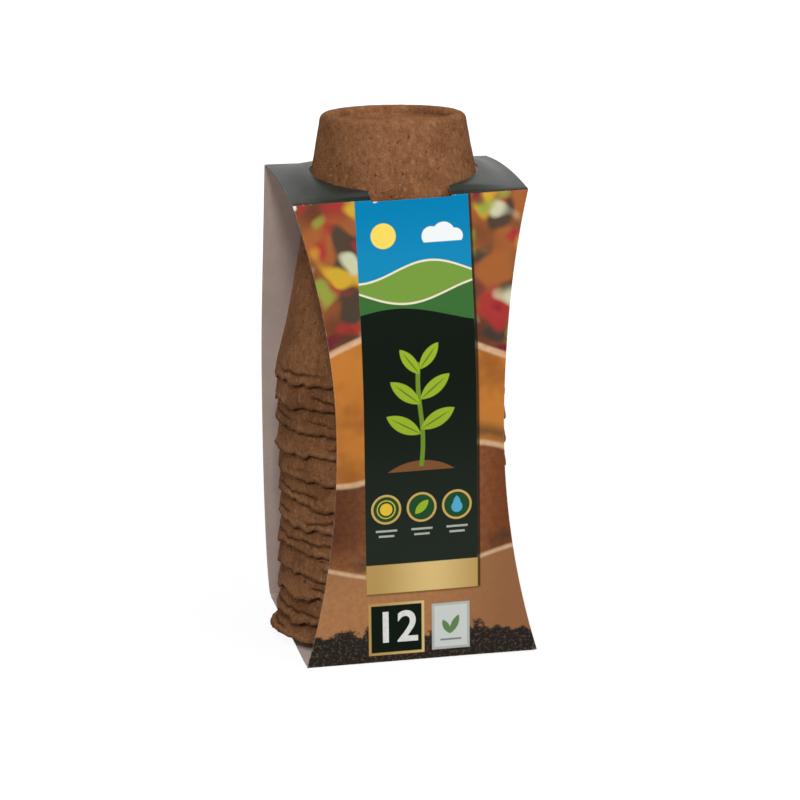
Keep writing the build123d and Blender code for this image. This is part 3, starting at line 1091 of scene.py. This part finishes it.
class POTPACK_OT_count(bpy.types.Operator):
    """Print the plain number of pots on the dark plate at the foot of the front"""

    bl_idname = "potpack.count"
    bl_label = "Count numerals"

    def execute(self, context):
        curve = bpy.data.curves.new("count_numerals", "FONT")
        curve.body = str(len(POTS))
        curve.size = NUMERAL_SIZE
        curve.align_x = curve.align_y = "CENTER"
        curve.offset = NUMERAL_SWELL
        curve.extrude = NUMERAL_DEPTH
        drawn = add_object("count_numerals_line", curve)
        context.view_layer.update()
        mesh = bpy.data.meshes.new_from_object(drawn.evaluated_get(context.evaluated_depsgraph_get()))
        bpy.data.objects.remove(drawn)
        paint = Paint("numeral_ink", Specular_IOR_Level=0.42)
        place = paint.object_place()
        shade = paint.over(srgb(226, 226, 220), srgb(216, 216, 209), paint.noise(place, 0.6, 3).fade(0.4, 0.65))
        mesh.materials.clear()
        mesh.materials.append(paint.finish(Base_Color=shade, Roughness=paint.noise(place, 0.9, 2) * 0.1 + 0.36))
        piece = add_object("count_numerals", mesh)
        middle = (DARK_PLATE[0] * MM, -HALF_DEPTH - NUMERAL_LIFT, NUMERAL_MIDDLE)
        piece.matrix_world = Matrix.Translation(middle) @ Matrix.Rotation(math.pi / 2, 4, "X")
        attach(piece, "sleeve_front")
        return {"FINISHED"}


def floor_material(stage):
    """A pale floor that shows white to the camera and keeps a soft shadow."""
    paint = Paint("pale_floor", Base_Color=stage.white, Roughness=0.9, Specular_IOR_Level=0.0)
    glow = paint.node("ShaderNodeEmission", None, {"Color": (1, 1, 1), "Strength": 1.15})
    away = paint.node("ShaderNodeVectorMath", {"operation": "LENGTH"}, {0: paint.object_place()}, output="Value")
    share = paint.ray("Camera").most(paint.ray("Glossy")) * (away.fade(200, 700) * 0.2 + 0.8)
    lit = Wire(paint, paint.shader.outputs[0])
    mixed = paint.node("ShaderNodeMixShader", None, {0: share, 1: lit, 2: glow})
    paint.feed(paint.tree.nodes["Material Output"].inputs["Surface"], mixed)
    return paint.material


def add_lamp(name, place, size, power):
    """A square soft lamp that faces the middle of the pack."""
    lamp = bpy.data.lights.new(name, "AREA")
    lamp.size = size
    lamp.energy = power
    holder = add_object(name, lamp)
    holder.location = place
    holder.rotation_euler = (LAMP_AIM - holder.location).to_track_quat("-Z", "Y").to_euler()


def studio_world():
    """A dim world, a little brighter at the right, that shows white to the camera."""
    world = bpy.data.worlds.new("studio")
    world.use_nodes = True
    sky = Nodes(world.node_tree)
    aside = sky.split(sky.node("ShaderNodeTexCoord", output="Generated"))[0]
    glow = aside.fade(-0.7, 0.9) * 0.24 + 0.07
    for kind in ("Camera", "Transmission", "Glossy"):
        glow = glow.most(sky.ray(kind))
    backdrop = world.node_tree.nodes["Background"]
    sky.feed(backdrop.inputs["Color"], (1, 1, 1))
    sky.feed(backdrop.inputs["Strength"], glow)
    return world


def camera_matrix(stage):
    """The camera's place and the way it looks."""
    turn, rise, roll = stage.azimuth, stage.elevation, stage.roll
    back = Vector((math.sin(turn) * math.cos(rise), -math.cos(turn) * math.cos(rise), math.sin(rise)))
    right = Vector((math.cos(turn), math.sin(turn), 0))
    up = back.cross(right)
    right, up = math.cos(roll) * right + math.sin(roll) * up, math.cos(roll) * up - math.sin(roll) * right
    target = Vector((stage.aside * right.x, stage.aside * right.y, stage.height))
    axes = Matrix((right, up, back)).transposed()
    return Matrix.Translation(target + back * stage.distance) @ axes.to_4x4()


class POTPACK_OT_stage(bpy.types.Operator):
    """Set the floor, the lamps and the camera"""

    bl_idname = "potpack.stage"
    bl_label = "Stage"

    def execute(self, context):
        scene = context.scene
        stage = scene.pot_pack.stage
        scene.view_settings.view_transform = "Standard"
        half = stage.floor_size / 2
        corners = [(x * half, y * half, -FLOOR_DROP) for x, y in ((-1, -1), (1, -1), (1, 1), (-1, 1))]
        floor = add_piece("floor", np.array(corners), [(0, 1, 2, 3)], [floor_material(stage)])
        scene.world = studio_world()
        for name, lamp in LAMPS.items():
            add_lamp(name, *lamp)

        camera = bpy.data.cameras.new("camera")
        camera.lens = stage.focal_length
        camera.sensor_width = SENSOR_WIDTH
        camera.clip_end = CLIP_END
        scene.camera = add_object("camera", camera)
        scene.camera.matrix_world = camera_matrix(stage)
        return {"FINISHED"}


class POTPACK_PT_sidebar(bpy.types.Panel):
    """The pot pack's pieces and stage"""

    bl_idname = "POTPACK_PT_sidebar"
    bl_label = "Pot pack"
    bl_space_type = "VIEW_3D"
    bl_region_type = "UI"
    bl_category = "Pot pack"

    def draw(self, context):
        for operator in OPERATORS:
            self.layout.operator(operator.bl_idname)


OPERATORS = (POTPACK_OT_stage, POTPACK_OT_pots, POTPACK_OT_bottom, POTPACK_OT_back, POTPACK_OT_top, POTPACK_OT_front,
             POTPACK_OT_count)
CLASSES = (PotSettings, SleeveSettings, StageSettings, PotPackSettings, *OPERATORS, POTPACK_PT_sidebar)


def register():
    for cls in CLASSES:
        bpy.utils.register_class(cls)
    bpy.types.Scene.pot_pack = bpy.props.PointerProperty(type=PotPackSettings, name="Pot pack",
                                                         description="Settings of the pot pack")


def unregister():
    del bpy.types.Scene.pot_pack
    for cls in reversed(CLASSES):
        bpy.utils.unregister_class(cls)


def main():
    """Register the tools and make every piece in order."""
    register()
    bpy.ops.potpack.stage()
    bpy.ops.potpack.pots()
    bpy.ops.potpack.bottom()
    bpy.ops.potpack.back()
    bpy.ops.potpack.top()
    bpy.ops.potpack.front()
    bpy.ops.potpack.count()
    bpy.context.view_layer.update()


if __name__ == "__main__":
    main()
